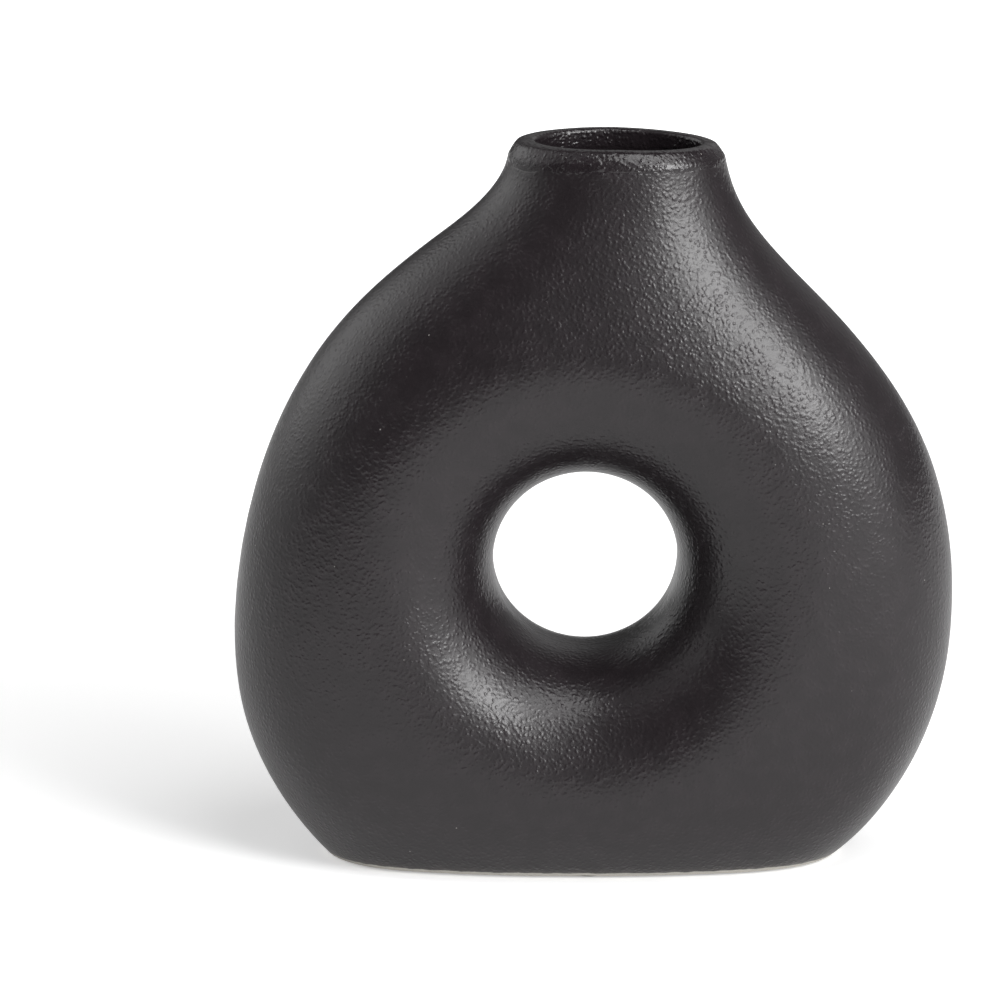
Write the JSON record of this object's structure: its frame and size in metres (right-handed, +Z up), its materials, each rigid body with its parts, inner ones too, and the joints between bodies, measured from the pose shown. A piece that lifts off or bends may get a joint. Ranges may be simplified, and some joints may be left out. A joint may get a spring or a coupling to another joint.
{
  "type": "donut vase",
  "caption": "Ring-shaped ceramic vase standing on a flat foot, with a round hole through its middle, a short oval neck and a satin black glaze.",
  "frame": {"origin": "on the table under the middle of the vase's box: the plane of the pads' undersides", "axes": "+Z up through the foot and the neck, -Y towards the front, +X to the right seen from the front; the tunnel runs along Y"},
  "size_m": [0.1782, 0.0694, 0.1808],
  "materials": {
    "black_glaze": "satin black glaze with a fine pebbled skin; bare pale clay on the foot's rim and in its recess",
    "pad_felt": "pressed dark grey felt"
  },
  "bodies": {
    "root": {"vase_body": "black_glaze", "foot_pad_front_left": "pad_felt", "foot_pad_front_right": "pad_felt", "foot_pad_back_left": "pad_felt", "foot_pad_back_right": "pad_felt"}
  },
  "joints": []
}
